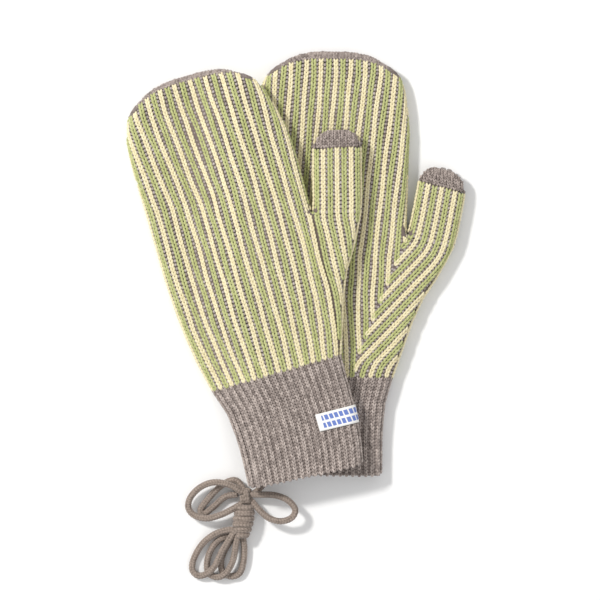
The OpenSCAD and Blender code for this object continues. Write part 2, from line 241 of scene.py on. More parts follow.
    @staticmethod
    def round_over(x, left, right):
        """Distance across for a length x measured along the cloth, with the fold edges at left and right."""
        half = np.where(x < 0, -left, right)
        turn = np.clip((np.abs(x) - half + EDGE) / EDGE_ARC, 0, 1.06)
        t = np.where(turn > 0, half - EDGE + EDGE * np.sin(np.minimum(turn, 1) * math.pi / 2), np.abs(x))
        return np.sign(x) * t, turn <= 0.985

    def hand_line(self, a, s, palm):
        """Plan points of the rib at cloth length a, at heights s, and which of them are on this side."""
        left, low, up = self.sides(s)
        edge = np.where(s < CROTCH - 12, low, lerp(low, up, smooth((s - CROTCH + 12) / 12)))
        t, ok = self.round_over(a * self.spread(s) + self.warp(a, s, palm), left, edge)
        if palm:
            ok &= s > self.mitre_s(t) - 2.2
        return np.stack([t, s], 1), ok

    def warp(self, a, s, palm):
        """How far the ribs lean aside from straight lines, as the cloth is stretched."""
        wander = 0.3 * np.sin(s * 0.045 + a * 0.11) + 0.25 * np.sin(s * 0.13 + a * 0.4)
        if palm:
            lean = 6 * (1 - smooth(s / 60)) - 11 * np.clip((192 - s) / 112, -0.1, 1)
            return lean * (0.45 + 0.55 * smooth((a + 17) / 37)) + wander
        fan = 6.2 * np.clip((a + 15) / 60, 0, 1) - 5.4
        pull = -1.9 * np.exp(-(((s - 65) / 28) ** 2)) * smooth((a - 38) / 12)
        return fan * np.clip((s - 125) / 60, 0, 1.05) + pull + wander

    def mitre_s(self, t):
        return np.interp(t, [20.0, CROTCH_T], [12.0, CROTCH], left=-50)


LEFT = Mitten("left", 16, (-14.9, -69.9), 209.0, 71.0, 56.0, -3.5, 3.2, -0.07, SEAM, 1.0, True, "back", 3.0)
RIGHT = Mitten("right", -1, (17.9, -72.5), 219.0, 65.0, 50.0, 2.0, -2.0, 0.0, 0.0, -2.4, False, "palm", 1.4)
RIBS = 12
THUMB_RIB = 4.65
RIB_ARC = 3.8
RIB_STEP = 2.65
SIDE_PITCH = {True: (4.95, 0.0), False: (4.87, -0.7)}


def hand_ribs(m, palm, shift=0.5):
    """Rib lines of one side of a hand, from the wrist up: (number, plan points)."""
    lines = []
    pitch, off = SIDE_PITCH[palm]
    over = m.lap
    for i in range(-RIBS, RIBS + (1 if palm else 0)):
        s = np.arange(0.3, m.hand, 1.0)
        p, ok = m.hand_line((i + shift) * pitch + off, s, palm)
        t = p[:, 0]
        limit = m.hand - BAND + over - 13 * np.abs((t - m.shift(1)) / (HAND_W / 2 - 8.8)) ** 3
        ok &= (s < limit) & m.inside(p)
        if not palm and i + shift > 10.8:
            ok &= s > CROTCH
        lines += [(i, p[run]) for run in runs(ok)]
    for j in range(0, 13 if palm else 7):
        line = side_rib(m, j + shift - 0.5, palm)
        ok = m.inside(line) & (base_height(m, line) < 1.6) & (line[:, 1] > 0.2)
        d, _ = m.edge(line)
        ok &= d > 0.25
        if palm:
            ok &= (line[:, 1] < m.mitre_s(line[:, 0]) + 1.2) | (line[:, 0] < 20.0)
            ok &= line[:, 0] > 19.0
        lines += [(RIBS - 1 + j, line[run]) for run in runs(ok)]
    return lines


def base_height(m, line):
    """How far plan points are above the thumb's base."""
    return (line - np.array([CROTCH_T + 0.4, CROTCH + SEAM])) @ m.u


def side_rib(m, j, palm):
    """Line of rib j counted from the crotch, from the cuff over the thumb's base and up to its cap."""
    q = (THUMB_W - 1.5) / 2 + (j - 3) * THUMB_RIB
    if j > 7:
        q -= (j - 7) * 0.5
    start = np.array([CROTCH_T + 0.4, CROTCH + SEAM])
    if palm:
        low = chevron_line(m, q)
    else:
        s = np.arange(0.3, CROTCH + SEAM - q * math.sin(math.radians(LEAN)), 1.0)
        base_t = CROTCH_T + 0.4 + q * math.cos(math.radians(LEAN))
        left, side, _ = m.sides(s)
        t, ok = m.round_over(base_t * m.spread(s) + m.warp(base_t, s, False), left, side)
        low = np.stack([t, s], 1)[ok]
    v = np.arange(1.0, m.cap_v + 0.5, 1.0)
    side = np.interp(v, [0, m.thumb * 0.16, m.thumb * 0.4, m.cap_v, m.thumb], [0, 0.1, 0.4, 1.0, 1.7])
    up = start + m.u * v[:, None] + m.d * (q + m.bend * side)[:, None]
    line = np.concatenate([low, up]) if j < 7 else low
    run = np.concatenate([[0], np.cumsum(np.linalg.norm(np.diff(line, axis=0), axis=1))])
    at = np.arange(0, run[-1], 1.0)
    line = np.stack([np.interp(at, run, line[:, k]) for k in (0, 1)], 1)
    wide = 11
    soft = np.stack([np.convolve(np.pad(line[:, k], wide // 2, "reflect", reflect_type="odd"), np.ones(wide) / wide, "valid") for k in (0, 1)], 1)
    return soft


def chevron_line(m, q):
    """Line from the cuff up to the thumb base that keeps q from the crotch and turns from slanting to the thumb's lean."""
    r0 = 7.0
    a14, a45 = math.radians(LEAN), math.radians(43)
    centre = np.array([CROTCH_T + 0.4, CROTCH + SEAM]) - m.d * r0
    rad = r0 + q
    low_dir = np.array([-math.sin(a45), -math.cos(a45)])
    bend = centre + rad * np.array([math.cos(a45), -math.sin(a45)])
    ang = np.linspace(a14, a45, 24)
    arc = centre + rad * np.stack([np.cos(ang), -np.sin(ang)], 1)
    run = np.arange(1.0, 130.0, 1.0)
    low = bend + run[:, None] * low_dir
    # the last stretch over the cuff hangs straight down
    foot = np.interp(low[:, 1], [0.0, 9.0], [1.0, 0.0])
    keep = low[np.argmax(low[:, 1] < 9.0)] if (low[:, 1] < 9.0).any() else low[-1]
    low[:, 0] = np.where(low[:, 1] < 9.0, keep[0] - (9.0 - low[:, 1]) * 0.25, low[:, 0])
    return np.concatenate([arc, low])[::-1]


def runs(ok, least=3):
    """Slices of consecutive true values."""
    out, start = [], None
    for i, v in enumerate(list(ok) + [False]):
        if v and start is None:
            start = i
        elif not v and start is not None:
            if i - start >= least:
                out.append(slice(start, i))
            start = None
    return out


def thumb_ribs(m, palm, shift=0.5):
    """Rib lines of one side of a thumb above its base."""
    lines = []
    for j in range(0, 7):
        line = side_rib(m, j + shift - 0.5, palm)
        ok = (base_height(m, line) >= -1.2) & m.inside(line)
        lines += [(RIBS - 1 + j, line[run]) for run in runs(ok)]
    if palm == (m.top == "palm") and shift == 0.5:
        v = np.arange(4.0, m.cap_v + 0.5, 1.0)
        for j, a in ((-1, -16.3), (7, 16.3)):
            side = m.bend * np.interp(v, [0, m.thumb * 0.4, m.cap_v], [0, 0.4, 1.0])
            lines.append((RIBS - 1 + j, m.thumb_mid(0, 0) + m.u * v[:, None] + m.d * (a + side)[:, None]))
    return lines


# ---------------------------------------------------------------- stitches

def fold_line(m, arc, thumb):
    """Plan line at a length arc of cloth in from the fold edge, and where it is on the hand or the thumb."""
    run = np.concatenate([[0], np.cumsum(np.linalg.norm(np.diff(m.outline, axis=0), axis=1))])
    at = np.arange(0, run[-1], 0.5)
    outline = np.stack([np.interp(at, run, m.outline[:, k]) for k in (0, 1)], 1)
    ahead = unit(np.gradient(outline, axis=0))
    inward = np.stack([-ahead[:, 1], ahead[:, 0]], 1)
    if not m.inside(outline[60:61] + inward[60:61])[0]:
        inward = -inward
    gap = EDGE * (1 - math.cos(arc / EDGE_ARC * math.pi / 2))
    line = outline + inward * max(gap, 0.1)
    d, _ = m.edge(line)
    v = base_height(m, line)
    across = (line - m.thumb_mid(0, 0)) @ m.d
    on_thumb = (v > 1.6) & (across > -(THUMB_W - 1.5) / 2 - 0.12 * v)
    top = m.hand - BAND + m.lap - 13 * np.abs((line[:, 0] - m.shift(1)) / (HAND_W / 2 - 8.8)) ** 3
    ok = m.inside(line) & (d > gap - 0.25) & (line[:, 1] > 0.3)
    ok &= (on_thumb & (v < m.cap_v)) if thumb else (~on_thumb & (line[:, 1] < top))
    return line, ok


def clear_of(rows, taken, gap):
    """The stitches of rows that keep at least gap from the taken points."""
    kept = []
    for row in rows:
        near = np.linalg.norm(taken[:, None] - row[0], axis=2).min(0)
        kept += [tuple(part[piece] for part in row) for piece in runs(near > gap, 1)]
    return kept


def fold_ribs(m, rows, thumb):
    """Adds a rib along the thumb side's fold, ends the others against it, and fills bare cloth beside it."""
    line, ok = fold_line(m, 0, thumb)
    if not thumb:
        ok &= (line[:, 0] > 0) & (line[:, 1] < CROTCH + 6) & (m.edge(line)[0] < 1)
    first = [walk(m, line[run], 1, RIB_STEP) for run in runs(ok)]
    first = [row for row in first if row]
    taken = np.concatenate([row[0] for row in first])
    for key, gap in (("cream", 2.6), ("green", 2.6), ("purl", 2.0)):
        rows[key] = clear_of(rows[key], taken, gap)
    rows["cream"] += first
    taken = np.concatenate([row[0] for row in rows["cream"] + rows["green"]])
    for colour, arc, face in (("cream", 0, 1), ("green", RIB_ARC, 1), ("green", RIB_ARC, -1),
                              ("cream", 2 * RIB_ARC, 1), ("cream", 2 * RIB_ARC, -1)):
        line, ok = fold_line(m, arc, thumb)
        more = [walk(m, line[run], face, RIB_STEP) for run in runs(ok)]
        more = [row for row in clear_of([row for row in more if row], taken, 2.7) if len(row[0]) > 1]
        if more:
            rows[colour] += more
            taken = np.concatenate([taken] + [row[0] for row in more])


def walk(m, line, face, pitch, first=0.5):
    """Stitch places along a plan line: points, normals, headings and plan points."""
    pts, _ = m.surface(line, face)
    run = np.concatenate([[0], np.cumsum(np.linalg.norm(np.diff(pts, axis=0), axis=1))])
    count = max(1, int(round(run[-1] / pitch)))
    if run[-1] < 0.7:
        return None
    at = (np.arange(count) + first) * (run[-1] / count)
    plan = np.stack([np.interp(at, run, line[:, k]) for k in (0, 1)], 1)
    p, n = m.surface(plan, face)
    ahead = np.stack([np.interp(at + 0.6, run, pts[:, k]) - np.interp(at - 0.6, run, pts[:, k]) for k in range(3)], 1)
    h = unit(ahead - (ahead * n).sum(1, keepdims=True) * n)
    return p, n, h, plan


def bead_shape(segments=6, rings=4):
    """Vertices and faces of one small bead of unit radius."""
    bm = bmesh.new()
    bmesh.ops.create_uvsphere(bm, u_segments=segments, v_segments=rings, radius=1.0)
    bmesh.ops.rotate(bm, verts=bm.verts, cent=(0, 0, 0), matrix=Matrix.Rotation(math.pi / 2, 3, "X"))
    v = np.array([x.co[:] for x in bm.verts])
    f = [[x.index for x in face.verts] for face in bm.faces]
    bm.free()
    return v, f


def bead_mesh(name, centre, across, along, out, tone, shape):
    """One mesh of many beads. across, along and out are each bead's half sizes as vectors, in millimetres."""
    v, f = shape
    n = len(centre)
    pts = centre[:, None] + v[None, :, :1] * across[:, None] + v[None, :, 1:2] * along[:, None]
    pts = pts + v[None, :, 2:3] * out[:, None]
    pts = (pts * MM).reshape(-1, 3)
    sizes = np.array([len(x) for x in f])
    flat = np.concatenate([np.array(x) for x in f])
    loops = (flat[None] + (np.arange(n) * len(v))[:, None]).reshape(-1)
    starts = np.concatenate([[0], np.cumsum(np.tile(sizes, n))[:-1]])
    me = bpy.data.meshes.new(name)
    me.vertices.add(len(pts))
    me.vertices.foreach_set("co", pts.ravel())
    me.loops.add(len(loops))
    me.loops.foreach_set("vertex_index", loops.astype(np.int32))
    me.polygons.add(len(starts))
    me.polygons.foreach_set("loop_start", starts.astype(np.int32))
    me.update(calc_edges=True)
    me.validate()
    me.polygons.foreach_set("use_smooth", np.ones(len(me.polygons), bool))
    att = me.attributes.new("tone", "FLOAT", "POINT")
    att.data.foreach_set("value", np.repeat(tone, len(v)).astype(np.float32))
    ob = bpy.data.objects.new(name, me)
    bpy.context.scene.collection.objects.link(ob)
    return ob


def chain_beads(places, width, girth, length, height, sink, rng, splay=0.42):
    """Two leaning beads for each stitch, which together read as a chain of small Vs."""
    c, x, y, z, tone = [], [], [], [], []
    for p, n, h, _ in places:
        b = np.cross(h, n)
        for side in (-1, 1):
            jitter = rng.normal(0, 0.05, (len(p), 3))
            lean = unit(h + side * splay * b)
            c.append(p + side * b * (width / 2 - girth) - n * sink + jitter)
            x.append(unit(np.cross(lean, n)) * girth)
            y.append(lean * length)
            z.append(n * height)
            tone.append(rng.random(len(p)))
    return [np.concatenate(k) for k in (c, x, y, z)] + [np.concatenate(tone)]


def purl_beads(places, width, girth, height, sink, rng):
    """One cross-wise bead for each stitch, in the groove between two ribs."""
    c, x, y, z, tone = [], [], [], [], []
    for p, n, h, _ in places:
        b = unit(np.cross(h, n) + 0.45 * h)
        c.append(p - n * sink + rng.normal(0, 0.08, (len(p), 3)))
        x.append(b * width)
        y.append(np.cross(n, b) * girth)
        z.append(n * height)
        tone.append(rng.random(len(p)))
    return [np.concatenate(k) for k in (c, x, y, z)] + [np.concatenate(tone)]


# ---------------------------------------------------------------- ground cloth

def cloth_from(node, name, m, inset, cuts=1):
    """The knit's ground: the node's own shell, rounded, with its outer side drawn in by inset millimetres."""
    bm = bmesh.new()
    bm.from_mesh(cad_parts[node].data)
    bmesh.ops.remove_doubles(bm, verts=bm.verts, dist=2e-6)
    bmesh.ops.join_triangles(bm, faces=bm.faces, angle_face_threshold=0.9, angle_shape_threshold=1.2)
    bmesh.ops.subdivide_edges(bm, edges=bm.edges, cuts=cuts, use_grid_fill=True)
    bmesh.ops.smooth_vert(bm, verts=bm.verts, factor=0.35, use_axis_x=True, use_axis_y=True, use_axis_z=True)
    bm.normal_update()
    pts = np.array([v.co[:] for v in bm.verts]) / MM
    nor = np.array([v.normal[:] for v in bm.verts])
    plan = m.from_frame(pts[:, :2])
    low = m.climb(pts[:, 0], pts[:, 1])
    face = np.where(pts[:, 2] - low > THICK / 2, 1.0, -1.0)
    d, e = m.edge(plan)
    c, s = math.cos(m.turn), math.sin(m.turn)
    out = np.clip((EDGE - d) / EDGE, 0, 1)
    ex, ey = e[:, 0] * c - e[:, 1] * s, e[:, 0] * s + e[:, 1] * c
    outward = np.stack([ex * out, ey * out, face * np.sqrt(np.maximum(1 - out**2, 0.02))], 1)
    outer = (nor * outward).sum(1) > 0.1
    for v, is_outer in zip(bm.verts, outer):
        if is_outer:
            v.co -= v.normal * inset * MM
    me = bpy.data.meshes.new(name)
    bm.to_mesh(me)
    bm.free()
    me.polygons.foreach_set("use_smooth", np.ones(len(me.polygons), bool))
    ob = bpy.data.objects.new(name, me)
    bpy.context.scene.collection.objects.link(ob)
    return ob


# ---------------------------------------------------------------- cords

def through(points, step=0.5):
    """A smooth line through given points, resampled evenly."""
    p = np.array(points, float)
    ends = np.concatenate([[2 * p[0] - p[1]], p, [2 * p[-1] - p[-2]]])
    out = []
    for i in range(len(p) - 1):
        a, b, c, d = ends[i:i + 4]
        k = np.linspace(0, 1, 24, endpoint=False)[:, None]
        out.append(0.5 * (2 * b + (c - a) * k + (2 * a - 5 * b + 4 * c - d) * k**2 + (3 * b - a - 3 * c + d) * k**3))
    line = np.concatenate(out + [p[-1:]])
    run = np.concatenate([[0], np.cumsum(np.linalg.norm(np.diff(line, axis=0), axis=1))])
    n = max(2, int(run[-1] / step))
    at = np.linspace(0, run[-1], n + 1)
    return np.stack([np.interp(at, run, line[:, k]) for k in range(3)], 1), run[-1]


def frames_along(line):
    """Headings and two side directions carried along a line without twist."""
    t = unit(np.gradient(line, axis=0))
    u = np.zeros_like(t)
    first = np.cross(t[0], [0, 0, 1.0])
    if np.linalg.norm(first) < 1e-3:
        first = np.array([1.0, 0, 0])
    u[0] = unit(first)
    for i in range(1, len(t)):
        v = u[i - 1] - t[i] * (u[i - 1] @ t[i])
        u[i] = v / max(np.linalg.norm(v), 1e-9)
    return t, u, np.cross(t, u)


def knit_cord(name, points, d=CORD_D, sides=24, step=0.36, columns=5, row=1.8):
    """A knitted tube along a line, its stitches standing up from the surface."""
    line, length = through(points, step)
    t, u, v = frames_along(line)
    run = np.linspace(0, length, len(line))
    bm = bmesh.new()
    ring = bmesh.ops.create_circle(bm, cap_ends=False, radius=1.0, segments=sides)["verts"]
    ang = np.array([math.atan2(x.co.y, x.co.x) for x in ring])
    bm.free()
    twist = run[:, None] * 0.035
    col = (ang[None] + twist) / (2 * math.pi) * columns
    w = np.abs((col % 1) * 2 - 1)
    rows = np.abs(np.sin(math.pi * (run[:, None] / row + 0.5 * w)))
    high = (0.25 + 0.75 * rows) * (1 - w**6)
    r = d / 2 * (0.82 + 0.22 * high)
    taper = np.ones(len(line))
    taper[0], taper[-1] = 0.6, 0.6
    r = r * taper[:, None]
    pts = line[:, None] + u[:, None] * (np.cos(ang)[None, :, None] * r[..., None])
    pts = pts + v[:, None] * (np.sin(ang)[None, :, None] * r[..., None])
    n = len(line)
    me = bpy.data.meshes.new(name)
    bm = bmesh.new()
    grid = [[bm.verts.new(Vector(pts[i, k] * MM)) for k in range(sides)] for i in range(n)]
    uv = bm.loops.layers.uv.new("cloth")
    for i in range(n - 1):
        for k in range(sides):
            j = (k + 1) % sides
            f = bm.faces.new((grid[i][k], grid[i][j], grid[i + 1][j], grid[i + 1][k]))
            f.smooth = True
            for loop, (a, b) in zip(f.loops, ((i, k), (i, k + 1), (i + 1, k + 1), (i + 1, k))):
                loop[uv].uv = (run[a] * MM, b / sides)
    bm.faces.new(grid[0][::-1])
    bm.faces.new(grid[-1])
    bmesh.ops.recalc_face_normals(bm, faces=bm.faces)
    bm.to_mesh(me)
    bm.free()
    # The stitch relief is stored as the tone: the yarn shader paints the dips between stitches darker as shade and the
    # raised stitches lighter as highlight.
    att = me.attributes.new("tone", "FLOAT", "POINT")
    att.data.foreach_set("value", high.ravel().astype(np.float32))
    ob = bpy.data.objects.new(name, me)
    bpy.context.scene.collection.objects.link(ob)
    return ob, line * MM, length * MM


# ---------------------------------------------------------------- shader helpers

class Wire:
    """A socket that can be used in sums."""

    def __init__(self, nodes, socket):
        self.nodes, self.socket = nodes, socket

    def _math(self, op, a, b=None, c=None):
        return self.nodes.add("ShaderNodeMath", {"operation": op}, [a] + ([] if b is None else [b]) + ([] if c is None else [c]))

    def __add__(self, o): return self._math("ADD", self, o)
    def __radd__(self, o): return self._math("ADD", o, self)
    def __sub__(self, o): return self._math("SUBTRACT", self, o)
    def __rsub__(self, o): return self._math("SUBTRACT", o, self)
    def __mul__(self, o): return self._math("MULTIPLY", self, o)
    def __rmul__(self, o): return self._math("MULTIPLY", o, self)
    def __truediv__(self, o): return self._math("DIVIDE", self, o)
    def __pow__(self, o): return self._math("POWER", self, o)
    def __gt__(self, o): return self._math("GREATER_THAN", self, o)
    def __lt__(self, o): return self._math("LESS_THAN", self, o)


class Nodes:
    """A new material and the one way its nodes are added."""

    def __init__(self, name):
        self.mat = bpy.data.materials.new(name)
        self.mat.use_nodes = True
        self.tree = self.mat.node_tree
        self.shader = next(n for n in self.tree.nodes if n.type == "BSDF_PRINCIPLED")

    def add(self, kind, settings=None, values=(), out=0):
        node = self.tree.nodes.new(kind)
        for k, v in (settings or {}).items():
            if k == "stops":
                ramp = node.color_ramp
                while len(ramp.elements) < len(v):
                    ramp.elements.new(0.5)
                for e, (at, colour) in zip(ramp.elements, v):
                    e.position, e.color = at, (*colour, 1)
            else:
                setattr(node, k, v)
        items = values.items() if isinstance(values, dict) else enumerate(values)
        for k, v in items:
            self.feed(node.inputs[k], v)
        return Wire(self, node.outputs[out])

    def feed(self, socket, value):
        if isinstance(value, Wire):
            self.tree.links.new(value.socket, socket)
        elif value is not None:
            if hasattr(value, "__len__") and len(value) == 3 and socket.type == "RGBA":
                value = (*value, 1)
            socket.default_value = value

    def mix(self, k, a, b):
        return self.add("ShaderNodeMix", {"data_type": "RGBA"}, {0: k, 6: a, 7: b}, out=2)

    def finish(self, **sockets):
        for k, v in sockets.items():
            self.feed(self.shader.inputs[k.replace("_", " ")], v)
        return self.mat


def hex_rgb(r, g, b):
    """Colour in linear light from three 0 to 255 steps."""
    return tuple((c / 255 / 12.92) if c / 255 <= 0.04045 else ((c / 255 + 0.055) / 1.055) ** 2.4 for c in (r, g, b))


def yarn_material(name, base, dark, light, fleck=0.5, rough=0.85):
    """Yarn: a base colour that varies stitch by stitch, with flecks and fine fibre. The attribute read here is a
    random tone per bead on the mittens; on the cord it is the stitch relief, so the dips between stitches are painted
    darker as shade and the raised stitches lighter as painted highlight.
    """
    n = Nodes(name)
    at = n.add("ShaderNodeTexCoord", out=3)
    tone = n.add("ShaderNodeAttribute", {"attribute_name": "tone"}, out=2)
    fine = n.add("ShaderNodeTexNoise", {"noise_dimensions": "3D"}, {"Vector": at, "Scale": 1500.0, "Detail": 3.0, "Roughness": 0.6})
    broad = n.add("ShaderNodeTexNoise", {"noise_dimensions": "3D"}, {"Vector": at, "Scale": 260.0, "Detail": 2.0})
    low = n.add("ShaderNodeMapRange", {}, {"Value": fine, "From Min": 0.35, "From Max": 0.65})
    k = n.add("ShaderNodeMapRange", {}, {"Value": tone * 0.55 + low * 0.3 + broad * 0.3 - 0.1})
    colour = n.mix(k, dark, light)
    colour = n.mix(fleck, base, colour)
    bump = n.add("ShaderNodeBump", {}, {"Strength": 0.35, "Distance": 0.0003, "Height": fine})
    n.shader.inputs["Sheen Weight"].default_value = 0.25
    n.shader.inputs["Sheen Roughness"].default_value = 0.5
    n.shader.inputs["Specular IOR Level"].default_value = 0.2
    return n.finish(Base_Color=colour, Roughness=rough, Normal=bump)


MATS = {}


def make_materials():
    c = bpy.context.scene.mitten_colours
    MATS["cream"] = yarn_material("cream_yarn", tuple(c.cream), hex_rgb(206, 188, 138), hex_rgb(248, 240, 208), 0.4)
    MATS["green"] = yarn_material("green_yarn", tuple(c.green), hex_rgb(146, 149, 84), hex_rgb(212, 214, 160), 0.5)
    # The ground is the taupe yarn of the grooves, painted darker than the purl stitches as shade in the deep gaps
    # between the beads.
    MATS["ground"] = yarn_material("taupe_ground_shaded", tuple(c.ground), hex_rgb(88, 76, 73), hex_rgb(142, 130, 126), 0.5)
    MATS["purl"] = yarn_material("taupe_purl", tuple(c.purl), hex_rgb(122, 109, 107), hex_rgb(212, 203, 202), 0.75)
    MATS["taupe"] = yarn_material("taupe_yarn", tuple(c.taupe), hex_rgb(108, 96, 91), hex_rgb(216, 203, 195), 0.85)
    MATS["cap"] = yarn_material("taupe_cap", hex_rgb(150, 136, 130), hex_rgb(90, 78, 73), hex_rgb(206, 192, 184), 0.85)
    # A darker copy of the taupe yarn: painted shade for the cuff's sunk ribs and for the ground cloth under the crown
    # bands and thumb caps.
    MATS["shade"] = yarn_material("taupe_groove_shaded", hex_rgb(142, 129, 123), hex_rgb(92, 80, 76), hex_rgb(196, 183, 176), 0.8)
    # The cord's dark colour goes into the dips between stitches as painted shade, following the stitch relief.
    MATS["cord"] = yarn_material("cord_yarn", tuple(c.cord), hex_rgb(52, 43, 38), hex_rgb(186, 170, 158), 0.9)
    MATS["tape"] = tape_material(tuple(c.tape), tuple(c.mark))
    n = Nodes("pale_floor")
    MATS["floor"] = n.finish(Base_Color=(0.93, 0.93, 0.93), Roughness=0.9)


def tape_material(white, mark):
    """Woven tape: fine twill, with two rows of plain blocks woven in."""
    n = Nodes("label_tape")
    uv = n.add("ShaderNodeUVMap", {"uv_map": "cloth"})
    x, y = (n.add("ShaderNodeSeparateXYZ", {}, [uv], out=k) for k in (0, 1))
    twill = n.add("ShaderNodeMath", {"operation": "SINE"}, [(x + y) * 9000.0])
    warp = n.add("ShaderNodeMath", {"operation": "SINE"}, [(x - y) * 9000.0])
    rows = None
    for mid in (0.0033, 0.0082):
        gap = n.add("ShaderNodeMath", {"operation": "ABSOLUTE"}, [y - mid])
        row = gap < 0.0017
        rows = row if rows is None else rows + row
    cell = n.add("ShaderNodeMath", {"operation": "FRACT"}, [x * 300.0 + y * 40.0])
    blocks = (cell < 0.74) * rows * (x > 0.0035)
    colour = n.mix(blocks * 0.9, white, mark)
    weave = n.add("ShaderNodeMapRange", {}, {"Value": twill + warp, "From Min": -2.0, "From Max": 2.0})
    bump = n.add("ShaderNodeBump", {}, {"Strength": 0.3, "Distance": 0.0002, "Height": weave})
    return n.finish(Base_Color=colour, Roughness=0.6, Normal=bump)


def dress(ob, material, body, nodes=()):
    ob.data.materials.clear()
    ob.data.materials.append(MATS[material])
    if body:
        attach(ob, body)
    if nodes:
        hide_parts(*nodes)
    return ob


# ---------------------------------------------------------------- properties and operators

class MittenColours(bpy.types.PropertyGroup):
    """Yarn colours of the pair."""
    cream: bpy.props.FloatVectorProperty(name="Cream", description="Yarn of the odd ribs", subtype="COLOR", size=3, default=hex_rgb(236, 226, 188))
    green: bpy.props.FloatVectorProperty(name="Green", description="Yarn of the even ribs", subtype="COLOR", size=3, default=hex_rgb(191, 195, 136))
    # Ground: taupe yarn, its default painted darker than the purl as shade in the gaps between beads.
    ground: bpy.props.FloatVectorProperty(name="Ground", description="Yarn in the grooves", subtype="COLOR", size=3, default=hex_rgb(126, 113, 107))
    purl: bpy.props.FloatVectorProperty(name="Purl", description="Yarn of the purl stitches between ribs", subtype="COLOR", size=3, default=hex_rgb(160, 147, 144))
    taupe: bpy.props.FloatVectorProperty(name="Taupe", description="Heather yarn of cuffs and caps", subtype="COLOR", size=3, default=hex_rgb(168, 155, 148))
    cord: bpy.props.FloatVectorProperty(name="Cord", description="Yarn of the neck cord", subtype="COLOR", size=3, default=hex_rgb(128, 114, 105))
    tape: bpy.props.FloatVectorProperty(name="Label", description="Label tape", subtype="COLOR", size=3, default=hex_rgb(244, 243, 240))
    mark: bpy.props.FloatVectorProperty(name="Label mark", description="Blocks woven into the label", subtype="COLOR", size=3, default=hex_rgb(66, 104, 190))


class MittenSizes(bpy.types.PropertyGroup):
    """Stitch sizes of the pair."""
    stitch: bpy.props.FloatProperty(name="Stitch", description="Height of one rib stitch", default=2.65 * MM, min=0.001, max=0.006, unit="LENGTH")
    rib: bpy.props.FloatProperty(name="Rib", description="Width of one rib", default=3.75 * MM, min=0.002, max=0.006, unit="LENGTH")
    cuff_stitch: bpy.props.FloatProperty(name="Cuff stitch", description="Height of one cuff stitch", default=2.2 * MM, min=0.001, max=0.006, unit="LENGTH")


class MITTEN_OT_stage(bpy.types.Operator):
    """Floor, soft light and the camera straight above."""
    bl_idname = "mitten.stage"
    bl_label = "Stage"

    def execute(self, context):
        scene = context.scene
        cam = bpy.data.cameras.new("camera")
        ob = bpy.data.objects.new("camera", cam)
        ob.location = (0.0007, -0.0206, 2.6)
        cam.lens_unit = "FOV"
        cam.sensor_fit = "HORIZONTAL"
        cam.angle = 2 * math.atan(0.2015 / 2.6)
        cam.clip_start, cam.clip_end = 0.05, 20
        scene.collection.objects.link(ob)
        scene.camera = ob
        make_materials()
        me = bpy.data.meshes.new("floor")
        bm = bmesh.new()
        bmesh.ops.create_grid(bm, x_segments=1, y_segments=1, size=3.0)
        bmesh.ops.translate(bm, verts=bm.verts, vec=(0, 0, -0.0003))
        bm.to_mesh(me)
        bm.free()
        floor = bpy.data.objects.new("floor", me)
        me.materials.append(MATS["floor"])
        scene.collection.objects.link(floor)
        for name, at, size, power, tint in (
            ("key_light", (-1.25, 0.86, 1.62), 0.26, 36, (1.0, 0.985, 0.96)),
            ("fill_light", (1.2, -0.9, 1.7), 1.8, 7, (0.97, 0.98, 1.0)),
        ):
            light = bpy.data.lights.new(name, "AREA")
            light.size, light.energy, light.color = size, power, tint
            lo = bpy.data.objects.new(name, light)
            lo.location = at
            lo.rotation_euler = (Vector((0.0, -0.02, 0.0)) - Vector(at)).to_track_quat("-Z", "Y").to_euler()
            scene.collection.objects.link(lo)
        world = bpy.data.worlds.new("studio")
        world.use_nodes = True
        world.node_tree.nodes["Background"].inputs[0].default_value = (1, 1, 1, 1)
        world.node_tree.nodes["Background"].inputs[1].default_value = 0.62
        scene.world = world
        scene.view_settings.view_transform = "Standard"
        scene.view_settings.look = "None"
        return {"FINISHED"}


LEFT_BODY = "left_cuff_part"
LOOP_LEFT = [
    (-33.9, -146.6, 6.4), (-34.6, -149.6, 6.8), (-38, -149.2, 8), (-46, -144.6, 8.8), (-56, -142.6, 8.6),
    (-65, -145.4, 7.6), (-72, -151.8, 6.4), (-74.2, -159, 5.8), (-70.6, -164.6, 6), (-62, -166.8, 7.6),
    (-52.5, -164.4, 8.4), (-44.5, -160.6, 8.2), (-37.6, -156.6, 7.6),
]
LOOP_BACK = [
    (-21.2, -137.9, 6.4), (-22.6, -142.4, 5), (-26.4, -147, 4.6), (-31, -150.6, 5.4), (-35.4, -150.4, 6.4),
    (-38.4, -145.2, 5.6), (-42.4, -141.6, 4), (-48.4, -142.8, 2.6), (-56, -148.6, 2.4), (-62.6, -156, 2.4),
    (-66.2, -161.6, 2.4), (-63.4, -163.8, 2.4), (-57, -159, 2.6), (-49.4, -152.6, 3), (-41, -150.9, 4),
]
LOOP_RIGHT = [
    (-35, -151.4, 6.8), (-31, -150.9, 7.4), (-25.9, -150.9, 8.4), (-16, -151.2, 10), (-7.6, -154.4, 11.4),
    (-2.6, -160.6, 12), (-5, -166.2, 11.8), (-12.6, -168.6, 11), (-20.6, -166.2, 10), (-26.4, -161.2, 8.6),
    (-31, -156, 7.4), (-34.4, -153.6, 6.4),
]


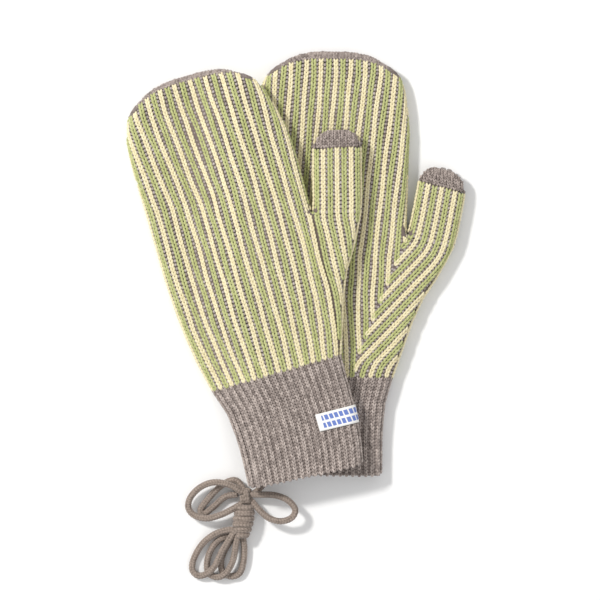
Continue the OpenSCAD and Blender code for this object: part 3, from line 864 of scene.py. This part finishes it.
class MITTEN_OT_cords(bpy.types.Operator):
    """The neck cord: tails, bow loops, knot, wraps and hank."""
    bl_idname = "mitten.cords"
    bl_label = "Cords"

    def execute(self, context):
        left, path, length = knit_cord("cord_bow_left", LOOP_LEFT)
        dress(left, "cord", LEFT_BODY, ("cord_left_tail", "cord_left_loop"))
        back, path, length = knit_cord("cord_bow_back", LOOP_BACK)
        dress(back, "cord", None, ("cord_right_tail", "cord_back_loop"))
        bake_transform(back)
        right, path, length = knit_cord("cord_bow_right", LOOP_RIGHT)
        dress(right, "cord", LEFT_BODY, ("cord_right_loop",))
        knot, path, length = knit_cord("cord_knot_turns", self.knot_line(), step=0.4)
        dress(knot, "cord", LEFT_BODY, ("cord_knot",))
        wraps, path, length = knit_cord("cord_wrap_turns", self.wrap_line(), step=0.4)
        dress(wraps, "cord", LEFT_BODY, ("cord_wraps",))
        hank, path, length = knit_cord("cord_hank_loops", self.hank_line(), step=0.4)
        dress(hank, "cord", LEFT_BODY, ("cord_hank",))
        return {"FINISHED"}

    def knot_line(self):
        """A turn and a half round the crossing of the loops."""
        mid, pts = np.array([-35.6, -152.9, 6.6]), []
        for a in np.linspace(-290, 270, 36):
            r = math.radians(a)
            pts.append(mid + np.array([2.1 * a / 280, 3.4 * math.cos(r) + 0.5, 3.6 * math.sin(r)]))
        return pts

    def wrap_line(self):
        """Turns round the bundle, widening down the middle."""
        top, low = np.array([-35.6, -158.8, 6.8]), np.array([-38.6, -178.6, 6.8])
        axis = (low - top) / np.linalg.norm(low - top)
        side, up = np.array([-axis[1], axis[0], 0]), np.array([0, 0, 1.0])
        turns, pts = 5.4, []
        for k in np.linspace(0, 1, int(turns * 14)):
            a = 2 * math.pi * turns * k
            rad = 2.6 + 2.0 * math.sin(math.pi * min(1, 0.15 + k * 0.8)) + 0.25 * math.sin(5 * a / turns)
            pts.append(lerp(top, low, k) + side * math.cos(a) * rad * 1.12 + up * math.sin(a) * min(rad, 4.4))
        return pts

    def hank_line(self):
        """Long loops hanging out of the wraps, one after another."""
        return [
            (-41.5, -176.5, 7.6), (-46.2, -174.4, 7.0), (-57.0, -177.9, 4.6), (-65.6, -185.3, 2.8), (-71.0, -195.4, 2.4),
            (-71.4, -202.0, 2.4), (-67.5, -205.5, 2.6), (-61.7, -204.0, 4.4), (-56.3, -198.6, 6.8), (-51.3, -188.5, 7.0),
            (-45.5, -179.2, 7.0), (-42.2, -174.4, 6.0), (-43.6, -177.8, 3.4), (-52.8, -181.1, 2.6), (-58.7, -187.6, 2.4),
            (-61.6, -196.1, 2.4), (-60.8, -203.6, 2.4), (-55.4, -206.4, 3.4), (-49.3, -204.0, 5.6), (-44.3, -195.4, 6.6),
            (-42.3, -184.6, 6.8), (-40.4, -177.0, 6.6), (-39.4, -173.6, 5.0), (-40.6, -176.6, 2.6), (-47.6, -184.6, 2.4),
            (-52.0, -194.6, 2.4), (-51.4, -202.6, 2.4), (-46.0, -206.0, 2.4), (-40.0, -204.0, 2.6), (-37.4, -196.9, 3.2),
            (-36.6, -188.0, 3.8), (-37.4, -180.0, 4.6), (-36.4, -175.6, 5.4),
        ]


class MITTEN_OT_hands(bpy.types.Operator):
    """Striped hands: ground cloth, cream ribs, green ribs and the purl stitches in the grooves."""
    bl_idname = "mitten.hands"
    bl_label = "Hands"

    def execute(self, context):
        z = context.scene.mitten_sizes
        pitch, width = z.stitch / MM, z.rib / MM
        for m in (LEFT, RIGHT):
            rng = np.random.default_rng(11 if m is LEFT else 12)
            made = [dress(cloth_from(f"{m.name}_hand", f"{m.name}_hand_ground", m, 1.5), "ground", None, (f"{m.name}_hand",))]
            rows = {"cream": [], "green": [], "purl": []}
            for face in (1, -1):
                palm = (m.top == "palm") == (face > 0)
                for i, line in hand_ribs(m, palm):
                    got = walk(m, line, face, pitch)
                    if got:
                        rows["green" if i % 2 else "cream"].append(got)
                for i, line in hand_ribs(m, palm, 1.0):
                    got = walk(m, line, face, pitch)
                    if got:
                        rows["purl"].append(got)
            fold_ribs(m, rows, False)
            across = m.thumb_mid(0.3, 0) + m.d * np.arange(-THUMB_W / 2, THUMB_W / 2, 0.5)[:, None]
            for face in (1, -1):
                rows["purl"] += [walk(m, across[run], face, 1.8) for run in runs(m.inside(across))]
            for colour in ("cream", "green"):
                slim = 0.4 if colour == "cream" else 0.0
                parts = chain_beads(rows[colour], width - slim, 0.94, pitch * 0.74, 0.9, 0.8, rng, 0.32)
                made.append(dress(bead_mesh(f"{m.name}_hand_{colour}_ribs", *parts, bead_shape()), colour, None))
            parts = purl_beads(rows["purl"], 1.2, 1.1, 0.8, 1.0, rng)
            made.append(dress(bead_mesh(f"{m.name}_hand_purl", *parts, bead_shape(5, 3)), "purl", None))
            for ob in made:
                hold_hand(ob, m)
        return {"FINISHED"}


def hold_hand(ob, m):
    if m is RIGHT:
        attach(ob, "right_mitten")
        return
    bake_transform(ob)


def hold_thumb(ob, m):
    base = m.thumb_mid(0, 0)[None]
    far = m.thumb_mid(24, 0)[None]
    (x0, y0), (x1, y1) = m.to_frame(base), m.to_frame(far)
    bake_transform(ob)


class MITTEN_OT_thumbs(bpy.types.Operator):
    """Striped thumbs with their plain caps."""
    bl_idname = "mitten.thumbs"
    bl_label = "Thumbs"

    def execute(self, context):
        z = context.scene.mitten_sizes
        pitch, width = z.stitch / MM, z.rib / MM
        for m in (LEFT, RIGHT):
            rng = np.random.default_rng(21 if m is LEFT else 22)
            n = m.name
            made = [dress(cloth_from(f"{n}_thumb", f"{n}_thumb_ground", m, 1.5), "ground", None, (f"{n}_thumb",))]
            rows = {"cream": [], "green": [], "purl": []}
            for face in (1, -1):
                palm = (m.top == "palm") == (face > 0)
                for i, line in thumb_ribs(m, palm):
                    rows["green" if i % 2 else "cream"].append(walk(m, line, face, pitch))
                for i, line in thumb_ribs(m, palm, 1.0):
                    rows["purl"].append(walk(m, line, face, pitch))
            fold_ribs(m, rows, True)
            for colour in ("cream", "green"):
                slim = 0.4 if colour == "cream" else 0.0
                parts = chain_beads(rows[colour], width - slim, 0.94, pitch * 0.74, 0.9, 0.8, rng, 0.32)
                made.append(dress(bead_mesh(f"{n}_thumb_{colour}_ribs", *parts, bead_shape()), colour, None))
            parts = purl_beads(rows["purl"], 1.2, 1.1, 0.8, 1.0, rng)
            made.append(dress(bead_mesh(f"{n}_thumb_purl", *parts, bead_shape(5, 3)), "purl", None))
            cap = cloth_from(f"{n}_thumb_cap", f"{n}_thumb_cap_ground", m, 1.3)
            made.append(dress(cap, "shade", None, (f"{n}_thumb_cap",)))
            rows = []
            for face in (1, -1):
                for a in np.arange(-15.6, 15.7, 2.4):
                    v = np.arange(m.cap_v, m.thumb - 0.4, 0.7)
                    line = m.thumb_mid(0, 0) + m.u * v[:, None] + m.d * (a + m.bend * np.interp(v, [0, m.thumb * 0.8, m.thumb], [0, 1, 1.7]))[:, None]
                    d, _ = m.edge(line)
                    for run in runs(m.inside(line) & (d > 0.5)):
                        rows.append(walk(m, line[run], face, 1.9))
            rows = [r for r in rows if r]
            parts = chain_beads(rows, 2.3, 0.64, 1.25, 0.75, 0.6, rng)
            made.append(dress(bead_mesh(f"{n}_thumb_cap_stitches", *parts, bead_shape()), "cap", None))
            for ob in made:
                hold_thumb(ob, m)
        return {"FINISHED"}


class MITTEN_OT_bands(bpy.types.Operator):
    """Plain closing bands at the crowns."""
    bl_idname = "mitten.bands"
    bl_label = "Crown bands"

    def execute(self, context):
        for m in (LEFT, RIGHT):
            rng = np.random.default_rng(31 if m is LEFT else 32)
            n = m.name
            band = dress(cloth_from(f"{n}_crown_band", f"{n}_crown_band_ground", m, 1.3), "shade", None, (f"{n}_crown_band",))
            rows = []
            for face in (1, -1):
                for t in np.arange(-48.3, 48.4, 2.1):
                    c = m.shift(1)
                    low = m.hand - BAND + m.lap - 13 * abs(t / (HAND_W / 2 - 8.8)) ** 3
                    s = np.arange(low - 0.6 - 0.06 * max(0, abs(t) - 30), m.hand + 1, 0.4)
                    line = np.stack([np.full_like(s, c + t), s], 1)
                    d, _ = m.edge(line)
                    for run in runs(m.inside(line) & (d > 0.15), 2):
                        got = walk(m, line[run], face, 1.9)
                        if got:
                            rows.append(got)
            parts = chain_beads(rows, 2.3, 0.62, 1.25, 0.75, 0.6, rng)
            knit = dress(bead_mesh(f"{n}_crown_band_stitches", *parts, bead_shape()), "cap", None)
            for ob in (band, knit):
                if m is RIGHT:
                    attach(ob, "right_mitten")
                else:
                    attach(ob, "left_hand_part")
        return {"FINISHED"}


class MITTEN_OT_cuffs(bpy.types.Operator):
    """Rib-knit cuffs in heather yarn."""
    bl_idname = "mitten.cuffs"
    bl_label = "Cuffs"

    def execute(self, context):
        pitch = context.scene.mitten_sizes.cuff_stitch / MM
        for m in (LEFT, RIGHT):
            rng = np.random.default_rng(41 if m is LEFT else 42)
            n = m.name
            body = LEFT_BODY if m is LEFT else "right_mitten"
            dress(cloth_from(f"{n}_cuff", f"{n}_cuff_ground", m, 1.7), "ground", body, (f"{n}_cuff",))
            high, low = [], []
            for face in (1, -1):
                for i in range(-20, 21):
                    a = i * 2.35
                    end = 1 + ((0.9 if i % 2 else 0.1) - 3.2 * abs(a / 46.5) ** 8) / m.cuff
                    k = np.linspace(-0.012, end, 60)
                    share = np.interp(k, CUFF_K, CUFF_W)
                    half = lerp(HEM_W, WRIST_W, share) / 2
                    c = m.cuff_shift * np.interp(k, CUFF_K, CUFF_C)
                    t, ok = m.round_over(a * (half + 3.5) / 46.5, -half, half)
                    t = t + c
                    s = -k * m.cuff + m.slant * t * k
                    line = np.stack([t, s], 1)
                    for run in runs(ok):
                        got = walk(m, line[run][::-1], face, pitch)
                        if got:
                            (high if i % 2 else low).append(got)
            parts = chain_beads(high, 2.8, 0.78, pitch * 0.7, 0.8, 0.65, rng, 0.4)
            dress(bead_mesh(f"{n}_cuff_ribs", *parts, bead_shape()), "taupe", body)
            # The sunk ribs take the darker copy of the same heather yarn, as painted shade.
            parts = chain_beads(low, 2.3, 0.66, pitch * 0.64, 0.66, 1.28, rng, 0.4)
            dress(bead_mesh(f"{n}_cuff_grooves", *parts, bead_shape(5, 4)), "shade", body)
        return {"FINISHED"}


class MITTEN_OT_label(bpy.types.Operator):
    """Woven label folded round the edge of the left cuff."""
    bl_idname = "mitten.label"
    bl_label = "Label"

    def execute(self, context):
        m = LEFT
        lo, hi, start = 32.4, 43.9, 17.2
        bm = bmesh.new()
        cols, rows = 60, 12
        grid = bmesh.ops.create_grid(bm, x_segments=cols, y_segments=rows, size=0.5)["verts"]
        uv = bm.loops.layers.uv.new("cloth")
        full = LABEL_LENGTH
        place = {}
        for v in grid:
            along, up = (v.co.x + 0.5) * full, v.co.y + 0.5
            k = (lo + (hi - lo) * (1 - up)) / m.cuff
            half = float(lerp(HEM_W, WRIST_W, np.interp(k, CUFF_K, CUFF_W)) / 2)
            c = float(m.cuff_shift * np.interp(k, CUFF_K, CUFF_C))
            flat = half + c - EDGE
            a = start + along - flat
            if a <= 0:
                t, face, z_turn = start + along, 1, 0.0
            elif a < 2 * EDGE_ARC:
                z_turn = a / EDGE_ARC * math.pi / 2
                t, face = flat + EDGE * math.sin(z_turn), (1 if a < EDGE_ARC else -1)
            else:
                t, face, z_turn = flat - (a - 2 * EDGE_ARC), -1, math.pi
            s = -k * m.cuff + m.slant * t * k
            p = np.array([[t, s]])
            z = THICK / 2 + (THICK / 2) * math.cos(z_turn)
            x, y = m.to_frame(p)
            ca, sa = math.cos(m.turn), math.sin(m.turn)
            nx, nz = math.sin(z_turn), math.cos(z_turn)
            off = 0.35 + 0.05 * math.sin(along * 0.9) * math.sin(up * 5)
            place[v] = Vector((float(x[0]) + nx * ca * off, float(y[0]) + nx * sa * off, float(z + m.climb(x, y)[0]) + nz * off)) * MM
        for f in bm.faces:
            f.smooth = True
            for loop in f.loops:
                co = loop.vert.co
                loop[uv].uv = ((co.x + 0.5) * full * MM, (co.y + 0.5) * (hi - lo) * MM)
        for v, p in place.items():
            v.co = p
        bmesh.ops.recalc_face_normals(bm, faces=bm.faces)
        me = bpy.data.meshes.new("woven_label")
        bm.to_mesh(me)
        bm.free()
        ob = bpy.data.objects.new("woven_label", me)
        context.scene.collection.objects.link(ob)
        mod = ob.modifiers.new("thickness", "SOLIDIFY")
        mod.thickness = 0.45 * MM
        mod.offset = 0
        dress(ob, "tape", LEFT_BODY, ("label",))
        return {"FINISHED"}


class MITTEN_PT_panel(bpy.types.Panel):
    """Sizes, colours and building steps of the mittens."""
    bl_label = "Mittens"
    bl_idname = "MITTEN_PT_panel"
    bl_space_type = "VIEW_3D"
    bl_region_type = "UI"
    bl_category = "Mittens"

    def draw(self, context):
        for group in (context.scene.mitten_sizes, context.scene.mitten_colours):
            for key in group.bl_rna.properties.keys():
                if key not in ("rna_type", "name"):
                    self.layout.prop(group, key)
        for op in STEPS:
            self.layout.operator(op.bl_idname)


STEPS = (
    MITTEN_OT_stage, MITTEN_OT_cords, MITTEN_OT_hands, MITTEN_OT_thumbs, MITTEN_OT_bands, MITTEN_OT_cuffs,
    MITTEN_OT_label,
)
CLASSES = (MittenColours, MittenSizes, *STEPS, MITTEN_PT_panel)


def register():
    for c in CLASSES:
        bpy.utils.register_class(c)
    bpy.types.Scene.mitten_colours = bpy.props.PointerProperty(type=MittenColours)
    bpy.types.Scene.mitten_sizes = bpy.props.PointerProperty(type=MittenSizes)


def unregister():
    del bpy.types.Scene.mitten_sizes
    del bpy.types.Scene.mitten_colours
    for c in reversed(CLASSES):
        bpy.utils.unregister_class(c)


def main():
    register()
    for op in STEPS:
        group, name = op.bl_idname.split(".")
        getattr(getattr(bpy.ops, group), name)()
    bpy.context.view_layer.update()


if __name__ == "__main__":
    main()
